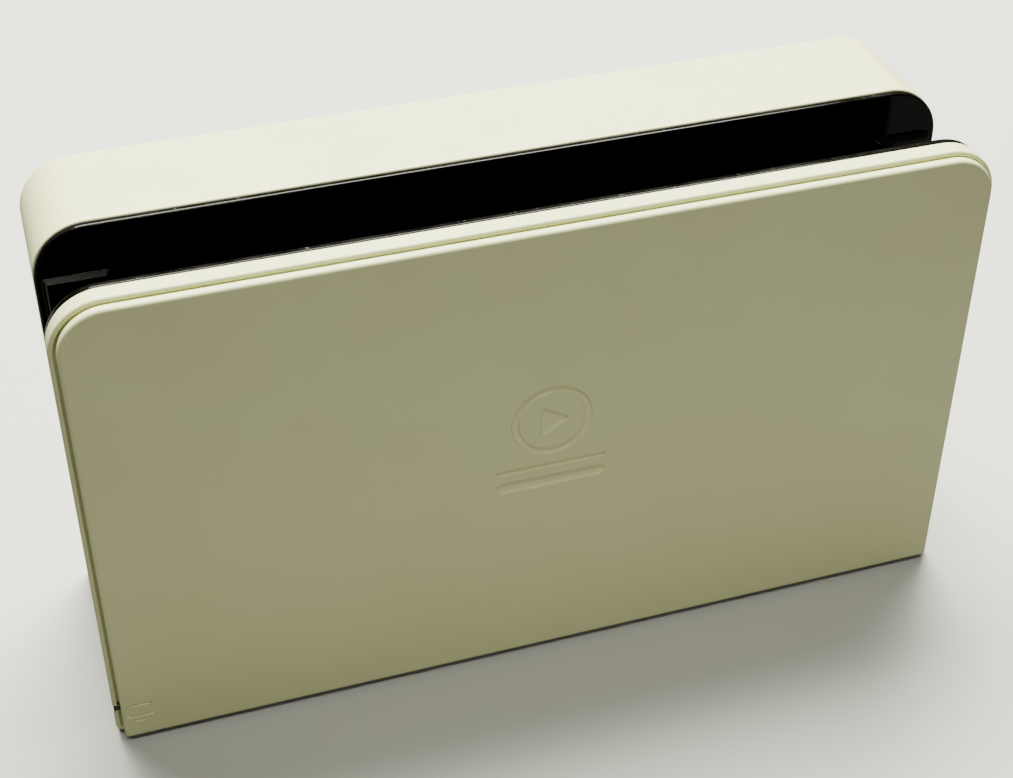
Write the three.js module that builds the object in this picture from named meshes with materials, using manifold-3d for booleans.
// Docking station for a handheld games console.
//
// Two upright walls stand on one base with an open slot between them. The console drops into the
// slot from above, onto a plug that rocks on a pin, and its grips stick out of the open ends. The
// thin front wall is a faced panel; the thick rear wall holds the boards and, under a lift-off
// cover, the bay for the power, network and video leads.
//
// Millimetres. X runs to the right, Y to the rear, Z up. The pieces are laid out with Y = 0 on the
// front face and the whole group is moved so that the origin is under the middle of the dock.
import * as THREE from "three";
import { mergeVertices } from "three/addons/utils/BufferGeometryUtils.js";
import Module from "manifold-3d";

const wasm = await Module();
wasm.setup();

// ---------------------------------------------------------------- driving dimensions
const WIDTH = 176;
const DEPTH = 50.8;
const HEIGHT = 103;
const CORNER = 10.4; // radius of the upper corners of both walls
const LOW_CORNER = 1.8; // radius of the lower corners
const FOOT_DROP = 0.9; // the rubber feet stand this far below the casing
const FIT = 0.2; // gap between neighbouring mouldings
const CONSOLE_THICKNESS = 13.9;
const CONSOLE_PLAY = 0.6;
const PAD_HEIGHT = 1.55; // the guide pads stand this far into the slot
const SLOT_WIDTH = CONSOLE_THICKNESS + CONSOLE_PLAY + 2 * PAD_HEIGHT;
const FLOOR_TOP = 17; // the console's lower edge rests at this height
const FLOOR_THICKNESS = 1.6;
const LINER_WALL = 1.4;
const ARC_STEPS = 5;
const EDGE_STEPS = 2; // facets round an outer edge
const ROUND_SIDES = 12;

const HALF = WIDTH / 2;
const BOTTOM = FOOT_DROP;

// Where each layer begins and ends, from the front face to the rear.
const PLATE_BACK = 1.75;
const SHELL_FRONT = 2.2;
const SHELL_BACK = 5.95;
const LINER_FRONT = SHELL_BACK + FIT;
const SLOT_FRONT = LINER_FRONT + LINER_WALL;
const SLOT_BACK = SLOT_FRONT + SLOT_WIDTH;
const LINER_BACK = SLOT_BACK + LINER_WALL;
const REAR_FRONT = LINER_BACK + FIT;
const SLOT_MIDDLE = (SLOT_FRONT + SLOT_BACK) / 2;
const COVER_FRONT = DEPTH - 1.7;
const REAR_WALL_BACK = COVER_FRONT - 0.3;
const REAR_WALL_FRONT = REAR_WALL_BACK - 1.8;
const BOARD_FRONT = LINER_BACK + 4.2;
const BOARD_BACK = BOARD_FRONT + 1.2;
const PART_SEAT = BOARD_BACK + FIT; // components stand on the boards from here
const FLOOR_UNDERSIDE = FLOOR_TOP - FLOOR_THICKNESS;
const LINER_BOTTOM = 3.8;
const WALL = 2.2;
const BASE_TOP = BOTTOM + 1.8;

// ---------------------------------------------------------------- finishes
function plastic(color, roughness) {
  return new THREE.MeshStandardMaterial({ color, roughness, metalness: 0 });
}
function metal(color, roughness) {
  return new THREE.MeshStandardMaterial({ color, roughness, metalness: 1 });
}
const FINISH = {
  white: plastic(0xdedccc, 0.5),
  black: plastic(0x0b0b0c, 0.15),
  darkMoulding: plastic(0x17181a, 0.45),
  rubber: plastic(0x55564f, 0.9),
  smoked: plastic(0x2a2620, 0.2),
  board: plastic(0x14402a, 0.45),
  flex: plastic(0xb07a2e, 0.4),
  thermal: plastic(0x8d99a3, 0.8),
  tinned: metal(0xc9cacc, 0.3),
  steel: metal(0x9a9da1, 0.35),
  screw: metal(0x3a3c40, 0.4),
};

// ---------------------------------------------------------------- solid helpers
function solidOf(geometry) {
  const bare = geometry.index ? geometry.toNonIndexed() : geometry.clone();
  bare.deleteAttribute("normal");
  bare.deleteAttribute("uv");
  const merged = mergeVertices(bare, 1e-4);
  const mesh = new wasm.Mesh({
    numProp: 3,
    vertProperties: merged.attributes.position.array,
    triVerts: new Uint32Array(merged.index.array),
  });
  return new wasm.Manifold(mesh);
}

function geometryOf(solid) {
  const mesh = solid.getMesh();
  const geometry = new THREE.BufferGeometry();
  geometry.setAttribute("position", new THREE.BufferAttribute(mesh.vertProperties, 3));
  geometry.setIndex(new THREE.BufferAttribute(mesh.triVerts, 1));
  geometry.computeVertexNormals();
  return geometry;
}

function join(...solids) {
  return solids.reduce((whole, next) => whole.add(next));
}

function cut(solid, ...tools) {
  return tools.reduce((left, tool) => left.subtract(tool), solid);
}

// A box given by its limits along X, Y and Z.
function block([x0, x1], [y0, y1], [z0, z1]) {
  const geometry = new THREE.BoxGeometry(x1 - x0, y1 - y0, z1 - z0);
  geometry.translate((x0 + x1) / 2, (y0 + y1) / 2, (z0 + z1) / 2);
  return solidOf(geometry);
}

// An outline drawn in X and Z, given thickness from y0 to y1.
function slabY(shape, y0, y1, steps = ARC_STEPS) {
  const geometry = new THREE.ExtrudeGeometry(shape, {
    depth: y1 - y0,
    bevelEnabled: false,
    curveSegments: steps,
  });
  geometry.rotateX(Math.PI / 2);
  geometry.translate(0, y1, 0);
  return solidOf(geometry);
}

// An outline drawn in X and Y, given thickness from z0 to z1.
function slabZ(shape, z0, z1, steps = ARC_STEPS) {
  const geometry = new THREE.ExtrudeGeometry(shape, {
    depth: z1 - z0,
    bevelEnabled: false,
    curveSegments: steps,
  });
  geometry.translate(0, 0, z0);
  return solidOf(geometry);
}

// An outline drawn in Y and Z, given thickness from x0 to x1.
function slabX(shape, x0, x1, steps = ARC_STEPS) {
  const geometry = new THREE.ExtrudeGeometry(shape, {
    depth: x1 - x0,
    bevelEnabled: false,
    curveSegments: steps,
  });
  geometry.rotateZ(Math.PI / 2);
  geometry.rotateY(Math.PI / 2);
  geometry.translate(x0, 0, 0);
  return solidOf(geometry);
}

// A round bar along "x", "y" or "z", from one end's centre.
function rod(axis, [x, y, z], radius, length, sides = ROUND_SIDES) {
  const geometry = new THREE.CylinderGeometry(radius, radius, length, sides);
  geometry.translate(0, length / 2, 0);
  if (axis === "x") geometry.rotateZ(-Math.PI / 2);
  if (axis === "z") geometry.rotateX(Math.PI / 2);
  geometry.translate(x, y, z);
  return solidOf(geometry);
}

// A bevelled pad: a rectangle in X and Z at y0 that narrows by `bevel` on its given sides at y1.
function pad([x0, x1], [z0, z1], y0, y1, bevel) {
  const foot = [
    [x0, z0],
    [x1, z0],
    [x1, z1],
    [x0, z1],
  ];
  const head = [
    [x0 + bevel, z0],
    [x1 - bevel, z0],
    [x1 - bevel, z1 - bevel],
    [x0 + bevel, z1 - bevel],
  ];
  const points = [...foot.map(([x, z]) => [x, y0, z]), ...head.map(([x, z]) => [x, y1, z])];
  const sides = [0, 1, 2, 3].flatMap((i) => {
    const next = (i + 1) % 4;
    return [i, next, next + 4, i, next + 4, i + 4];
  });
  const faces = [0, 2, 1, 0, 3, 2, 4, 5, 6, 4, 6, 7, ...sides];
  const outward = y1 < y0 ? faces : faces.slice().reverse();
  const geometry = new THREE.BufferGeometry();
  geometry.setAttribute("position", new THREE.Float32BufferAttribute(points.flat(), 3));
  geometry.setIndex(outward);
  return solidOf(geometry);
}

// ---------------------------------------------------------------- outlines
// The front view of a wall: round upper corners and tight lower corners.
// `inset` shrinks it evenly and `bottom` says where it ends.
function wallOutline({ inset = 0, bottom = BOTTOM, top = HEIGHT, lowCorner = LOW_CORNER } = {}) {
  const radius = CORNER - inset;
  const upper = top - CORNER;
  const side = HALF - CORNER;
  const lowRadius = Math.max(lowCorner - inset, 0.3);
  const lower = bottom + inset + lowRadius;
  const lowSide = HALF - inset - lowRadius;
  const shape = new THREE.Shape();
  shape.absarc(side, upper, radius, 0, Math.PI / 2, false);
  shape.absarc(-side, upper, radius, Math.PI / 2, Math.PI, false);
  shape.absarc(-lowSide, lower, lowRadius, Math.PI, 1.5 * Math.PI, false);
  shape.absarc(lowSide, lower, lowRadius, 1.5 * Math.PI, 2 * Math.PI, false);
  return shape;
}

// A wall slab from y0 to y1 with rounded front and rear edges: the wall's outline, drawn further
// in towards each end, is skinned ring by ring and capped.
function softWall(options, y0, y1, frontRadius, rearRadius) {
  const { inset = 0 } = options;
  const quarter = (end, inward, radius) =>
    Array.from({ length: EDGE_STEPS + 1 }, (_, i) => {
      const angle = ((i / EDGE_STEPS) * Math.PI) / 2;
      const y = end + inward * radius * (1 - Math.cos(angle));
      return { y, inset: inset + radius * (1 - Math.sin(angle)) };
    });
  const stations = [...quarter(y0, 1, frontRadius), ...quarter(y1, -1, rearRadius).reverse()];
  const rings = stations.map(({ y, inset: further }) =>
    wallOutline({ ...options, inset: further })
      .getPoints(ARC_STEPS)
      .map((point) => [point.x, y, point.y]),
  );
  const count = rings[0].length;
  const faces = [];
  for (let ring = 0; ring < rings.length - 1; ring += 1) {
    for (let i = 0; i < count; i += 1) {
      const near = ring * count;
      const next = (i + 1) % count;
      faces.push(near + i, near + count + i, near + next);
      faces.push(near + next, near + count + i, near + count + next);
    }
  }
  const cap = THREE.ShapeUtils.triangulateShape(
    rings[0].map(([x, , z]) => new THREE.Vector2(x, z)),
    [],
  );
  const last = (rings.length - 1) * count;
  cap.forEach(([a, b, c]) => faces.push(a, b, c, last + a, last + c, last + b));
  const geometry = new THREE.BufferGeometry();
  geometry.setAttribute("position", new THREE.Float32BufferAttribute(rings.flat(2), 3));
  geometry.setIndex(faces);
  return solidOf(geometry);
}

// A rectangle with round corners, centred on (x, y) of its own plane.
function roundedRectangle(width, height, radius, x = 0, y = 0) {
  const a = width / 2 - radius;
  const b = height / 2 - radius;
  const shape = new THREE.Shape();
  shape.absarc(x + a, y + b, radius, 0, Math.PI / 2, false);
  shape.absarc(x - a, y + b, radius, Math.PI / 2, Math.PI, false);
  shape.absarc(x - a, y - b, radius, Math.PI, 1.5 * Math.PI, false);
  shape.absarc(x + a, y - b, radius, 1.5 * Math.PI, 2 * Math.PI, false);
  return shape;
}

// A ribbon of even thickness that follows a folded line in its own plane.
function ribbonOutline(line, thickness) {
  const points = line.map(([a, b]) => new THREE.Vector2(a, b));
  const half = thickness / 2;
  const side = (sign) =>
    points.map((point, i) => {
      const into = points[Math.max(i, 1)].clone().sub(points[Math.max(i, 1) - 1]).normalize();
      const last = points.length - 1;
      const out = points[Math.min(i, last - 1) + 1].clone();
      out.sub(points[Math.min(i, last - 1)]).normalize();
      const normal = new THREE.Vector2(-into.y - out.y, into.x + out.x).normalize();
      const stretch = half / Math.abs(normal.dot(new THREE.Vector2(-into.y, into.x)));
      return point.clone().addScaledVector(normal, sign * stretch);
    });
  return new THREE.Shape([...side(1), ...side(-1).reverse()]);
}

// ---------------------------------------------------------------- the assembly
const dock = new THREE.Group();
dock.position.y = -DEPTH / 2;

function place(name, solid, finish, position = [0, 0, 0], rotation = [0, 0, 0], parent = dock) {
  const mesh = new THREE.Mesh(geometryOf(solid), finish);
  mesh.name = name;
  mesh.position.set(...position);
  mesh.rotation.set(...rotation);
  parent.add(mesh);
  return mesh;
}

// ---------------------------------------------------------------- front panel
const PLATE_INSET = 1.4;
const PLATE_SPAN = { bottom: BOTTOM - 1.3, top: HEIGHT + 0.6 };
const PLATE_LOW_CORNER = 2.3;
const PLATE_EDGE = 1.2;
const PLATE_WALL = 1.1;
const EMBLEM = { height: 60, radius: 8, ring: 1.5, depth: 0.35 };
const SCREEN_ICON = { x: -83.1, z: 8.15, width: 5, height: 3.5, stroke: 0.45, depth: 0.25 };

// A plain pressed mark: a ring round a play triangle, over a thin bar and a thick one.
function emblem() {
  const { height, radius, ring: width, depth } = EMBLEM;
  const ring = new THREE.Shape().absarc(0, height, radius, 0, 2 * Math.PI, false);
  ring.holes.push(new THREE.Path().absarc(0, height, radius - width, 0, 2 * Math.PI, true));
  const triangle = new THREE.Shape();
  triangle.moveTo(3.4, height);
  triangle.lineTo(-2, height + 3.2);
  triangle.lineTo(-2, height - 3.2);
  const thinBar = roundedRectangle(22, 1.2, 0.55, 0, height - radius - 2.8);
  const thickBar = roundedRectangle(22, 2.6, 1.2, 0, height - radius - 6.6);
  const marks = [ring, triangle, thinBar, thickBar];
  return join(...marks.map((shape) => slabY(shape, -1, depth, 10)));
}

// The small outline of a screen on its stand, pressed beside the lamp.
function screenIcon() {
  const { x, z, width, height, stroke, depth } = SCREEN_ICON;
  const frame = roundedRectangle(width, height, 0.3, x, z);
  frame.holes.push(roundedRectangle(width - 2 * stroke, height - 2 * stroke, 0.2, x, z));
  const foot = roundedRectangle(2, stroke, 0.2, x, z - height / 2 - 1);
  return join(slabY(frame, -1, depth, 2), slabY(foot, -1, depth, 2));
}

function frontPlate() {
  const outline = { inset: PLATE_INSET, ...PLATE_SPAN, lowCorner: PLATE_LOW_CORNER };
  const hollow = wallOutline({ inset: PLATE_INSET + 1.8, ...PLATE_SPAN });
  return cut(
    softWall(outline, 0, PLATE_BACK, PLATE_EDGE, 0.2),
    slabY(hollow, PLATE_WALL, PLATE_BACK + 1),
    emblem(),
    screenIcon(),
  );
}

// The lamp shines out through a notch in the shell's front edge, beside the plate.
const LAMP_HEIGHT = 7.6;
const LAMP_NOTCH = { width: 2.6, depth: 2.4, high: 1.6 };

function frontShell() {
  const tray = softWall({}, SHELL_FRONT, SHELL_BACK, 0.4, 0.5);
  const land = slabY(wallOutline({ inset: PLATE_INSET + 3.6 }), PLATE_WALL + 0.1, SHELL_FRONT + 0.1);
  const hollow = slabY(wallOutline({ inset: 2 }), SHELL_FRONT + 1.5, SHELL_BACK + 1);
  const lampNotch = block(
    [-HALF - 1, -HALF + LAMP_NOTCH.width],
    [SHELL_FRONT - 1, SHELL_FRONT + LAMP_NOTCH.depth],
    [LAMP_HEIGHT - LAMP_NOTCH.high / 2, LAMP_HEIGHT + LAMP_NOTCH.high / 2],
  );
  return cut(join(tray, land), hollow, lampNotch);
}

place("front_plate", frontPlate(), FINISH.white);
place("front_shell", frontShell(), FINISH.white);

function lampPipe() {
  const { width, depth, high } = LAMP_NOTCH;
  const reach = high / 2 - FIT;
  const window = block([FIT / 2, width - FIT], [FIT / 2, depth - FIT], [-reach, reach]);
  const flange = block([width - 0.3, width + 0.8], [1.7, 3.4], [-1, 1]);
  return join(window, flange);
}

function lampBoard() {
  const sheet = block([0, 12], [0, 0.6], [-1.6, 4.6]);
  const emitter = block([0.2, 1.8], [0.5, 1.6], [-0.8, 0.8]);
  return join(sheet, emitter);
}

place("lamp_light_pipe", lampPipe(), FINISH.smoked, [-HALF, SHELL_FRONT, LAMP_HEIGHT]);
const lampBoardPlace = [-HALF + LAMP_NOTCH.width + 1, SHELL_FRONT + 1.7, LAMP_HEIGHT];
place("lamp_board", lampBoard(), FINISH.board, lampBoardPlace);

// ---------------------------------------------------------------- slot liner
const SLOT_END = HALF - 1.3; // below the floor the liner stops inside the base's side walls
const PAD_INNER = 74.6;
const PAD_OUTER = 85;
const PAD_TOP = 91.6;
const PAD_BEVEL = 1.8;
const PLUG_WINDOW = { width: 21, depth: 9.6 };
const BASE_POSTS = [-48, 48].flatMap((x) => [SLOT_MIDDLE - 4.6, SLOT_MIDDLE + 4.6].map((y) => [x, y]));
const REAR_POSTS = [-80.5, 80.5].flatMap((x) => [14, 90].map((z) => [x, z]));
const MAIN_BOARD = { left: -54, right: 5, low: 18, high: 92 };
const MAIN_POSTS = [MAIN_BOARD.left + 4, MAIN_BOARD.right - 4].flatMap((x) =>
  [MAIN_BOARD.low + 4, MAIN_BOARD.high - 4].map((z) => [x, z]),
);
const USB_BOARD = { left: -84.2, right: -60, low: 28, high: 74 };
const USB_POSTS = [USB_BOARD.low + 4, USB_BOARD.high - 4].map((z) => [USB_BOARD.right - 4, z]);
const POST_RADIUS = 3;
const PILOT_RADIUS = 1.25;
const REAR_POST_END = REAR_WALL_FRONT - 2.2;
const BRACKET_BOSS_X = 21;
const BRACKET_FLANGE_TOP = 11.8;
const RIBBON_WINDOW = { half: 14, low: 4.4, high: 10 };

// One upright wall of the liner: full width above the floor, narrower inside the base.
function linerWall(y0, y1) {
  const above = softWall({ inset: 0.1, bottom: FLOOR_TOP + 0.2, lowCorner: 0.7 }, y0, y1, 0.3, 0.3);
  const below = block([-SLOT_END, SLOT_END], [y0, y1], [LINER_BOTTOM, FLOOR_TOP + 1]);
  return join(above, below);
}

function slotLiner() {
  const window = roundedRectangle(PLUG_WINDOW.width, PLUG_WINDOW.depth, 2, 0, SLOT_MIDDLE);
  const cove = 2;
  const coves = new THREE.Shape();
  coves.moveTo(SLOT_FRONT - 0.5, FLOOR_UNDERSIDE);
  coves.lineTo(SLOT_BACK + 0.5, FLOOR_UNDERSIDE);
  coves.lineTo(SLOT_BACK + 0.5, FLOOR_TOP + cove);
  coves.lineTo(SLOT_BACK, FLOOR_TOP + cove);
  coves.absarc(SLOT_BACK - cove, FLOOR_TOP + cove, cove, 0, -Math.PI / 2, true);
  coves.absarc(SLOT_FRONT + cove, FLOOR_TOP + cove, cove, -Math.PI / 2, -Math.PI, true);
  coves.lineTo(SLOT_FRONT - 0.5, FLOOR_TOP + cove);
  const pads = [-1, 1].flatMap((side) => {
    const span = side > 0 ? [PAD_INNER, PAD_OUTER] : [-PAD_OUTER, -PAD_INNER];
    const heights = [FLOOR_TOP - 0.5, PAD_TOP];
    return [
      pad(span, heights, SLOT_FRONT - 0.1, SLOT_FRONT + PAD_HEIGHT, PAD_BEVEL),
      pad(span, heights, SLOT_BACK + 0.1, SLOT_BACK - PAD_HEIGHT, PAD_BEVEL),
    ];
  });
  const basePosts = BASE_POSTS.map(([x, y]) =>
    cut(
      rod("z", [x, y, 4.6], POST_RADIUS, FLOOR_UNDERSIDE - 4.5),
      rod("z", [x, y, 4], PILOT_RADIUS, 9),
    ),
  );
  const rearPosts = REAR_POSTS.map(([x, z]) =>
    cut(
      rod("y", [x, LINER_BACK - 0.1, z], POST_RADIUS, REAR_POST_END - LINER_BACK + 0.1),
      rod("y", [x, REAR_POST_END - 9, z], PILOT_RADIUS, 10),
    ),
  );
  const boardPosts = [...MAIN_POSTS, ...USB_POSTS].map(([x, z]) =>
    cut(
      rod("y", [x, LINER_BACK - 0.1, z], 2.4, BOARD_FRONT - FIT - LINER_BACK + 0.1),
      rod("y", [x, LINER_BACK + 0.4, z], 1, 6),
    ),
  );
  const bracketBosses = [-BRACKET_BOSS_X, BRACKET_BOSS_X].map((x) =>
    cut(
      rod("z", [x, SLOT_MIDDLE, BRACKET_FLANGE_TOP + FIT], 2.6, FLOOR_UNDERSIDE - BRACKET_FLANGE_TOP),
      rod("z", [x, SLOT_MIDDLE, BRACKET_FLANGE_TOP - 1], 1, 4),
    ),
  );
  const body = join(
    linerWall(LINER_FRONT, SLOT_FRONT),
    linerWall(SLOT_BACK, LINER_BACK),
    slabX(coves, -SLOT_END, SLOT_END, 4),
    ...pads,
    ...basePosts,
    ...rearPosts,
    ...boardPosts,
    ...bracketBosses,
  );
  const ribbonWindow = block(
    [-RIBBON_WINDOW.half, RIBBON_WINDOW.half],
    [SLOT_BACK - 1, LINER_BACK + 1],
    [RIBBON_WINDOW.low, RIBBON_WINDOW.high],
  );
  return cut(body, slabZ(window, FLOOR_UNDERSIDE - 1, FLOOR_TOP + 1, 3), ribbonWindow);
}

place("slot_liner", slotLiner(), FINISH.black);

// ---------------------------------------------------------------- base
const BASE_REAR = REAR_WALL_FRONT - FIT;
const BASE_REAR_HALF = HALF - WALL - FIT;
const FOOT = { length: 22, width: 7, x: 70, front: 14, rear: 41, pocket: 1.0 };
const VENT = { count: 15, pitch: 4, width: 1.6, length: 11, y: 38 };

function baseCover() {
  const plan = new THREE.Shape();
  plan.moveTo(-HALF, LINER_FRONT);
  plan.lineTo(HALF, LINER_FRONT);
  plan.lineTo(HALF, LINER_BACK);
  plan.lineTo(BASE_REAR_HALF, LINER_BACK);
  plan.lineTo(BASE_REAR_HALF, BASE_REAR);
  plan.lineTo(-BASE_REAR_HALF, BASE_REAR);
  plan.lineTo(-BASE_REAR_HALF, LINER_BACK);
  plan.lineTo(-HALF, LINER_BACK);
  const sideWalls = [-1, 1].map((side) => {
    const span = side > 0 ? [SLOT_END + FIT, HALF] : [-HALF, -SLOT_END - FIT];
    return block(span, [LINER_FRONT, LINER_BACK], [BOTTOM, FLOOR_TOP]);
  });
  const screwBosses = BASE_POSTS.map(([x, y]) => rod("z", [x, y, BOTTOM], 3.6, 3.5));
  const screwHoles = BASE_POSTS.flatMap(([x, y]) => [
    rod("z", [x, y, 0], 1.5, 6),
    rod("z", [x, y, 0], 2.8, BOTTOM + 1.8),
  ]);
  const footPockets = [-FOOT.x, FOOT.x].flatMap((x) =>
    [FOOT.front, FOOT.rear].map((y) => {
      const pill = roundedRectangle(FOOT.length + 0.4, FOOT.width + 0.4, FOOT.width / 2 + 0.2, x, y);
      return slabZ(pill, 0, BOTTOM + FOOT.pocket, 6);
    }),
  );
  const vents = Array.from({ length: VENT.count }, (_, i) => {
    const x = (i - (VENT.count - 1) / 2) * VENT.pitch;
    const ends = [VENT.y - VENT.length / 2, VENT.y + VENT.length / 2];
    return block([x - VENT.width / 2, x + VENT.width / 2], ends, [0, BASE_TOP + 1]);
  });
  const body = join(slabZ(plan, BOTTOM, BASE_TOP), ...sideWalls, ...screwBosses);
  return cut(body, ...screwHoles, ...footPockets, ...vents);
}

place("base_cover", baseCover(), FINISH.white);

const footShape = roundedRectangle(FOOT.length, FOOT.width, FOOT.width / 2);
const footSolid = slabZ(footShape, 0, BOTTOM + FOOT.pocket - FIT, 6);
const FOOT_PLACES = {
  foot_front_left: [-FOOT.x, FOOT.front, 0],
  foot_front_right: [FOOT.x, FOOT.front, 0],
  foot_rear_left: [-FOOT.x, FOOT.rear, 0],
  foot_rear_right: [FOOT.x, FOOT.rear, 0],
};
for (const [name, position] of Object.entries(FOOT_PLACES)) {
  place(name, footSolid, FINISH.rubber, position);
}

// ---------------------------------------------------------------- rear casing
const BAY = { left: 8.2, right: 73.4, low: 9.6, high: 93, floor: REAR_FRONT + 3, wall: 1.6 };
const NOTCH = { left: 44, right: 70, high: 16, radius: 5 };
const REAR_EDGE = 1.2;
const COVER_INSET = 1.9;
const COVER_TABS = [
  [-80, 34],
  [-80, 70],
  [80, 34],
  [80, 70],
];
const USB_HEIGHTS = [40, 62];
const USB_SIZE = { length: 14, height: 5.7, width: 13.1 };

// The rounded notch through which the leads leave, as a tool from y0 to y1.
function leadNotch(y0, y1, grow = 0) {
  const shape = new THREE.Shape();
  const left = NOTCH.left - grow;
  const right = NOTCH.right + grow;
  const high = NOTCH.high + grow;
  shape.moveTo(left, -1);
  shape.lineTo(right, -1);
  shape.absarc(right - NOTCH.radius, high - NOTCH.radius, NOTCH.radius, 0, Math.PI / 2, false);
  shape.absarc(left + NOTCH.radius, high - NOTCH.radius, NOTCH.radius, Math.PI / 2, Math.PI, false);
  return slabY(shape, y0, y1, 5);
}

const PORT_HEIGHTS = { power: 78, network: 55, video: 33 };
const PORT_SIZES = {
  power: { length: 7.4, height: 3.3, width: 9 },
  network: { length: 21, height: 13, width: 16.2 },
  video: { length: 11.4, height: 5.8, width: 15 },
};
const PORT_FACE = BAY.left - 0.4;

function rearShell() {
  const outer = softWall({}, REAR_FRONT, DEPTH, 0.3, REAR_EDGE);
  const front = slabY(wallOutline({ inset: WALL, bottom: -6 }), REAR_FRONT - 1, REAR_WALL_FRONT);
  const seat = slabY(wallOutline({ inset: COVER_INSET - 0.3 }), REAR_WALL_BACK, DEPTH + 1);
  const pocket = block(
    [BAY.left - BAY.wall, BAY.right + BAY.wall],
    [BAY.floor - BAY.wall, REAR_WALL_FRONT + 0.1],
    [BAY.low - BAY.wall, BAY.high + BAY.wall],
  );
  const bay = block(
    [BAY.left, BAY.right],
    [BAY.floor, REAR_WALL_BACK + 1],
    [BAY.low, BAY.high],
  );
  const screwBosses = REAR_POSTS.map(([x, z]) =>
    rod("y", [x, REAR_POST_END + FIT, z], 4.4, REAR_WALL_BACK - REAR_POST_END - FIT),
  );
  const screwHoles = REAR_POSTS.flatMap(([x, z]) => [
    rod("y", [x, REAR_POST_END - 1, z], 1.5, 8),
    rod("y", [x, REAR_WALL_BACK - 2, z], 2.9, 4),
  ]);
  const portWindows = Object.entries(PORT_HEIGHTS).map(([kind, z]) => {
    const { height, width } = PORT_SIZES[kind];
    return block(
      [BAY.left - 3, BAY.left + 1],
      [PART_SEAT - 0.3, PART_SEAT + height + 0.3],
      [z - width / 2 - 0.3, z + width / 2 + 0.3],
    );
  });
  const usbWindows = USB_HEIGHTS.map((z) =>
    block(
      [-HALF - 1, -HALF + 6],
      [PART_SEAT - 0.3, PART_SEAT + USB_SIZE.height + 0.3],
      [z - USB_SIZE.width / 2 - 0.3, z + USB_SIZE.width / 2 + 0.3],
    ),
  );
  const tabSlots = COVER_TABS.map(([x, z]) =>
    block([x - 1.5, x + 1.5], [REAR_WALL_FRONT - 1, REAR_WALL_BACK + 1], [z - 4, z + 4]),
  );
  const casing = join(cut(outer, front, seat), pocket, ...screwBosses);
  return cut(
    casing,
    bay,
    leadNotch(BAY.floor + 4, REAR_WALL_BACK + 1),
    ...screwHoles,
    ...portWindows,
    ...usbWindows,
    ...tabSlots,
  );
}

function backCover() {
  const plate = softWall({ inset: COVER_INSET }, COVER_FRONT, DEPTH, 0.2, 0.4);
  const tabs = COVER_TABS.map(([x, z]) =>
    join(
      block([x - 0.8, x + 0.8], [REAR_WALL_FRONT - 1.6, COVER_FRONT + 0.1], [z - 3, z + 3]),
      block([x - 1.2, x + 1.2], [REAR_WALL_FRONT - 1.6, REAR_WALL_FRONT - 0.5], [z - 3, z + 3]),
    ),
  );
  return cut(join(plate, ...tabs), leadNotch(COVER_FRONT - 1, DEPTH + 1));
}

place("rear_shell", rearShell(), FINISH.white);
place("back_cover", backCover(), FINISH.white);

// ---------------------------------------------------------------- boards and shields
function boardHoles(posts) {
  return posts.map(([x, z]) => rod("y", [x, BOARD_FRONT - 1, z], 1.3, 4));
}

const CHIPS = [
  { x: -31, z: 60, size: 12, height: 1.3 },
  { x: -28, z: 38, size: 7, height: 1 },
  { x: -40, z: 74, size: 5, height: 1.6 },
  { x: -9, z: 74, size: 5, height: 2 },
];

function mainBoard() {
  const span = [MAIN_BOARD.left, MAIN_BOARD.right];
  const heights = [MAIN_BOARD.low, MAIN_BOARD.high];
  const sheet = block(span, [BOARD_FRONT, BOARD_BACK], heights);
  const chips = CHIPS.map(({ x, z, size, height }) => {
    const deep = [BOARD_BACK - 0.1, BOARD_BACK + height];
    return block([x - size / 2, x + size / 2], deep, [z - size / 2, z + size / 2]);
  });
  const flexSocket = block([-14, -3], [BOARD_FRONT - 1.2, BOARD_FRONT + 0.1], [24, 27]);
  return cut(join(sheet, ...chips, flexSocket), ...boardHoles(MAIN_POSTS));
}

function usbBoard() {
  const sheet = block(
    [USB_BOARD.left, USB_BOARD.right],
    [BOARD_FRONT, BOARD_BACK],
    [USB_BOARD.low, USB_BOARD.high],
  );
  return cut(sheet, ...boardHoles(USB_POSTS));
}

// A folded can, open towards the board, with one rim all round.
const CAN = { left: -47, right: -17, low: 27, high: 83, height: 4.6, sheet: 0.5 };
function shieldCan() {
  const outer = block([CAN.left, CAN.right], [PART_SEAT, PART_SEAT + CAN.height], [CAN.low, CAN.high]);
  const inner = block(
    [CAN.left + CAN.sheet, CAN.right - CAN.sheet],
    [PART_SEAT - 1, PART_SEAT + CAN.height - CAN.sheet],
    [CAN.low + CAN.sheet, CAN.high - CAN.sheet],
  );
  const holes = [-40, -32, -24].flatMap((x) =>
    [46, 76].map((z) => rod("y", [x, PART_SEAT + CAN.height - 2, z], 1.2, 4, 8)),
  );
  return cut(outer, inner, ...holes);
}

place("main_board", mainBoard(), FINISH.board);
place("usb_board", usbBoard(), FINISH.board);
place("shield_can", shieldCan(), FINISH.tinned);
place(
  "shield_plate",
  block([-46, -12], [BOARD_FRONT - 1.2, BOARD_FRONT - 0.7], [30, 80]),
  FINISH.tinned,
);
place(
  "thermal_pad",
  block([-37, -25], [BOARD_BACK + 1.5, PART_SEAT + CAN.height - CAN.sheet - FIT], [54, 66]),
  FINISH.thermal,
);

// ---------------------------------------------------------------- sockets
// Each socket is drawn with its mouth at the origin facing +X, its shell running back along -X,
// its height along Y from 0 and its width along Z about 0.
function socketShell({ length, height, width }, wall, back) {
  const shell = block([-length, 0], [0, height], [-width / 2, width / 2]);
  const mouth = block([-length + back, 1], [wall, height - wall], [wall - width / 2, width / 2 - wall]);
  return cut(shell, mouth);
}

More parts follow.
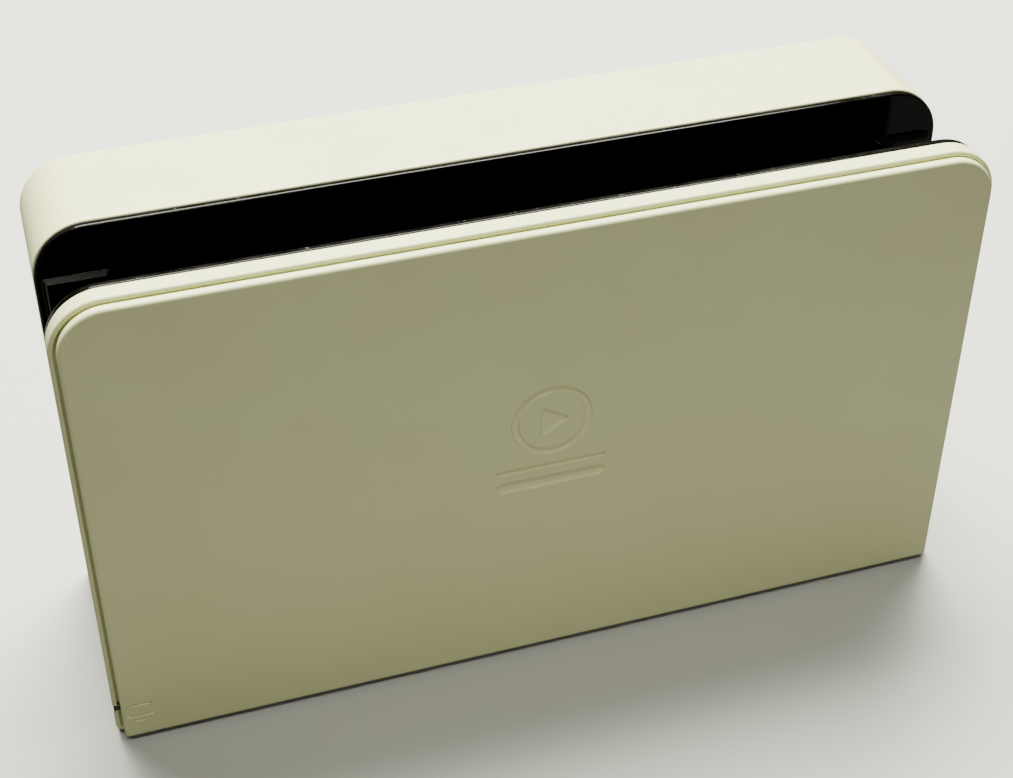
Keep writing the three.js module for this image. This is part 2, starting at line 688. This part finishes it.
function networkSocket() {
  const size = PORT_SIZES.network;
  const body = block([-size.length, 0], [0, size.height], [-size.width / 2, size.width / 2]);
  const mouth = block([-14, 1], [1.4, 9.6], [-6, 6]);
  const latchStep = block([-14, 1], [9.5, 11], [-3.2, 3.2]);
  const contacts = block([-13, -5], [1.3, 2.2], [-4.4, 4.4]);
  return join(cut(body, mouth, latchStep), contacts);
}

function videoSocket() {
  const size = PORT_SIZES.video;
  const tongue = block([-size.length + 1, -1.2], [2.2, 3.6], [-5.6, 5.6]);
  return join(socketShell(size, 0.5, 2), tongue);
}

function powerSocket() {
  const { length, height, width } = PORT_SIZES.power;
  const middle = height / 2;
  const outline = roundedRectangle(height, width, middle - 0.05, middle, 0);
  const mouth = roundedRectangle(height - 0.7, width - 0.7, middle - 0.4, middle, 0);
  const tongue = block([1 - length, -1], [middle - 0.35, middle + 0.35], [-3.2, 3.2]);
  return join(cut(slabX(outline, -length, 0, 5), slabX(mouth, 1.2 - length, 1, 5)), tongue);
}

function usbSocket() {
  const tongue = block([-USB_SIZE.length + 1, -1.4], [0.9, 2.7], [-5.6, 5.6]);
  return join(socketShell(USB_SIZE, 0.5, 3), tongue);
}

place("power_socket", powerSocket(), FINISH.tinned, [PORT_FACE, PART_SEAT, PORT_HEIGHTS.power]);
place("network_socket", networkSocket(), FINISH.tinned, [PORT_FACE, PART_SEAT, PORT_HEIGHTS.network]);
place("video_socket", videoSocket(), FINISH.tinned, [PORT_FACE, PART_SEAT, PORT_HEIGHTS.video]);

// The side sockets face -X, so each is the mirror image of its drawing.
const usbNames = ["usb_socket_lower", "usb_socket_upper"];
usbNames.forEach((name, i) => {
  const mirrored = usbSocket().mirror([1, 0, 0]);
  place(name, mirrored, FINISH.tinned, [-HALF + 0.5, PART_SEAT, USB_HEIGHTS[i]]);
});

// ---------------------------------------------------------------- docking plug
const PIVOT_HEIGHT = 8.8;
const PIN_RADIUS = 1;
const BRACKET = { leg: 16, sheet: 0.8, base: 4, halfDepth: 5, flange: 25 };
const CARRIAGE = { half: 15.4, halfDepth: 4.5, low: 6.4, high: 14.2 };
const NOSE = { half: 9.4, halfDepth: 2.9, high: FLOOR_TOP - 0.2 };
const PLUG = { width: 8.25, depth: 2.4, low: 12.4, high: 23.4, wall: 0.35 };
const SPRING = { y: 2.9, radius: 1.1, wire: 0.35, low: 5.1, high: 8.1, turns: 4 };

// Everything on the docking plug is drawn about the middle of the slot.
const plugGroup = new THREE.Group();
plugGroup.position.set(0, SLOT_MIDDLE, 0);
dock.add(plugGroup);

function bracket() {
  const { leg, sheet, base, halfDepth, flange } = BRACKET;
  const deep = [-halfDepth, halfDepth];
  const floor = block([-leg - sheet, leg + sheet], deep, [base, base + sheet]);
  const sides = [-1, 1].map((side) => {
    const legSpan = side > 0 ? [leg, leg + sheet] : [-leg - sheet, -leg];
    const flangeSpan = side > 0 ? [leg, flange] : [-flange, -leg];
    const flangeDeep = [-3.5, 3.5];
    const heights = [BRACKET_FLANGE_TOP - sheet, BRACKET_FLANGE_TOP];
    return join(block(legSpan, deep, [base, BRACKET_FLANGE_TOP]), block(flangeSpan, flangeDeep, heights));
  });
  const screwHoles = [-BRACKET_BOSS_X, BRACKET_BOSS_X].map((x) => rod("z", [x, 0, base], 1.3, 12));
  const pinHole = rod("x", [-30, 0, PIVOT_HEIGHT], PIN_RADIUS + 0.06, 60, 24);
  return cut(join(floor, ...sides), ...screwHoles, pinHole);
}

function carriage() {
  const { half, halfDepth, low, high } = CARRIAGE;
  const body = block([-half, half], [-halfDepth, halfDepth], [low, high]);
  const nose = slabZ(roundedRectangle(2 * NOSE.half, 2 * NOSE.halfDepth, 2), high - 1, NOSE.high, 4);
  const pinHole = rod("x", [-half - 1, 0, PIVOT_HEIGHT], PIN_RADIUS + 0.08, 2 * half + 2, 24);
  const plugHole = slabZ(plugOutline(0.15), PLUG.low - 0.2, NOSE.high + 1, 5);
  const springPockets = [-SPRING.y, SPRING.y].map((y) =>
    rod("z", [0, y, low - 1], SPRING.radius + 0.35, SPRING.high + 1.2 - low, 12),
  );
  return cut(join(body, nose), pinHole, plugHole, ...springPockets);
}

function plugOutline(grow) {
  const width = PLUG.width + 2 * grow;
  const depth = PLUG.depth + 2 * grow;
  return roundedRectangle(width, depth, depth / 2 - 0.02);
}

function dockingPlug() {
  const shell = slabZ(plugOutline(0), PLUG.low, PLUG.high, 5);
  const mouth = slabZ(plugOutline(-PLUG.wall), PLUG.high - 5.2, PLUG.high + 1, 5);
  return cut(shell, mouth);
}

function coilSpring() {
  const rise = SPRING.high - SPRING.low - SPRING.wire;
  const steps = SPRING.turns * 10;
  const points = Array.from({ length: steps + 1 }, (_, i) => {
    const angle = (i / steps) * SPRING.turns * 2 * Math.PI;
    const z = SPRING.wire / 2 + (rise * i) / steps;
    return new THREE.Vector3(SPRING.radius * Math.cos(angle), SPRING.radius * Math.sin(angle), z);
  });
  const section = new THREE.Shape().absarc(0, 0, SPRING.wire / 2, 0, 2 * Math.PI, false);
  const path = new THREE.CatmullRomCurve3(points);
  const settings = { steps, extrudePath: path, curveSegments: 3, bevelEnabled: false };
  return solidOf(new THREE.ExtrudeGeometry(section, settings));
}

place("plug_bracket", bracket(), FINISH.steel, [0, 0, 0], [0, 0, 0], plugGroup);
const pinLength = 2 * (BRACKET.leg + BRACKET.sheet + 0.8);
place(
  "plug_pivot_pin",
  rod("x", [-pinLength / 2, 0, 0], PIN_RADIUS, pinLength, 24),
  FINISH.steel,
  [0, 0, PIVOT_HEIGHT],
  [0, 0, 0],
  plugGroup,
);
place("plug_carriage", carriage(), FINISH.darkMoulding, [0, 0, 0], [0, 0, 0], plugGroup);
place("docking_plug", dockingPlug(), FINISH.tinned, [0, 0, 0], [0, 0, 0], plugGroup);
const springSolid = coilSpring();
const SPRING_PLACES = { plug_spring_front: -SPRING.y, plug_spring_rear: SPRING.y };
for (const [name, y] of Object.entries(SPRING_PLACES)) {
  place(name, springSolid, FINISH.steel, [0, y, SPRING.low], [0, 0, 0], plugGroup);
}

// ---------------------------------------------------------------- flat cables
const FLEX = 0.3;

// From the rocking carriage, down, back through the liner's window and up to the main board.
const plugRibbon = ribbonOutline(
  [
    [SLOT_MIDDLE + CARRIAGE.halfDepth + 1.2, 11],
    [SLOT_MIDDLE + CARRIAGE.halfDepth + 1.2, 7.4],
    [SLOT_MIDDLE + CARRIAGE.halfDepth + 2.4, 6.2],
    [LINER_BACK + 0.9, 6.2],
    [LINER_BACK + 1.9, 7.2],
    [LINER_BACK + 1.9, 23.2],
  ],
  FLEX,
);
place("plug_ribbon_cable", slabX(plugRibbon, -13, -4), FINISH.flex);

// From the lamp board, under the slot floor and up behind the liner to the side board.
const lampRibbon = ribbonOutline(
  [
    [SHELL_BACK - 1.2, 9],
    [SHELL_BACK - 1.2, 4.2],
    [SHELL_BACK - 0.45, 3.35],
    [LINER_BACK + 1.2, 3.35],
    [LINER_BACK + 2, 4.2],
    [LINER_BACK + 2, 34],
  ],
  FLEX,
);
place("lamp_ribbon_cable", slabX(lampRibbon, -76, -72), FINISH.flex);

// A short flat cable that bridges the gap between the side board and the main board.
const bridge = new THREE.Shape();
bridge.moveTo(-63, PART_SEAT);
bridge.lineTo(-60, PART_SEAT + 2.4);
bridge.lineTo(-54, PART_SEAT + 2.4);
bridge.lineTo(-51, PART_SEAT);
bridge.lineTo(-51 + FLEX, PART_SEAT + FLEX);
bridge.lineTo(-54 + FLEX / 2, PART_SEAT + 2.4 + FLEX);
bridge.lineTo(-60 - FLEX / 2, PART_SEAT + 2.4 + FLEX);
bridge.lineTo(-63 - FLEX, PART_SEAT + FLEX);
place("usb_ribbon_cable", slabZ(bridge, 46, 56), FINISH.flex);

// ---------------------------------------------------------------- screws
// A pan-head screw with a three-lobed recess, its head's underside at the origin and its shank
// running along -Z.
function screw({ head, headHeight, shank, length, lobe }) {
  const cap = rod("z", [0, 0, 0], head, headHeight);
  const body = join(cap, rod("z", [0, 0, -length], shank, length + 0.1, 8));
  const lobes = [90, 210, 330].map((angle) =>
    block([0, lobe], [-0.3, 0.3], [headHeight - 0.7, headHeight + 1]).rotate([0, 0, angle]),
  );
  return cut(body, ...lobes);
}
const caseScrew = screw({ head: 2.5, headHeight: 1.4, shank: 1.1, length: 8, lobe: 1.5 });
const boardScrew = screw({ head: 1.9, headHeight: 1, shank: 0.8, length: 4.2, lobe: 1.1 });

const UPSIDE_DOWN = [Math.PI, 0, 0];
const HEAD_TO_REAR = [-Math.PI / 2, 0, 0];

BASE_POSTS.forEach(([x, y], i) => {
  place(`base_screw_${i + 1}`, caseScrew, FINISH.screw, [x, y, BOTTOM + 1.5], UPSIDE_DOWN);
});
REAR_POSTS.forEach(([x, z], i) => {
  place(`rear_screw_${i + 1}`, caseScrew, FINISH.screw, [x, REAR_WALL_BACK - 1.7, z], HEAD_TO_REAR);
});
MAIN_POSTS.forEach(([x, z], i) => {
  place(`main_board_screw_${i + 1}`, boardScrew, FINISH.screw, [x, PART_SEAT, z], HEAD_TO_REAR);
});
USB_POSTS.forEach(([x, z], i) => {
  place(`usb_board_screw_${i + 1}`, boardScrew, FINISH.screw, [x, PART_SEAT, z], HEAD_TO_REAR);
});
[-BRACKET_BOSS_X, BRACKET_BOSS_X].forEach((x, i) => {
  const seat = BRACKET_FLANGE_TOP - BRACKET.sheet - FIT;
  const bracketScrew = screw({ head: 1.9, headHeight: 1, shank: 0.8, length: 3.6, lobe: 1.1 });
  place(`bracket_screw_${i + 1}`, bracketScrew, FINISH.screw, [x, 0, seat], UPSIDE_DOWN, plugGroup);
});

export default dock;
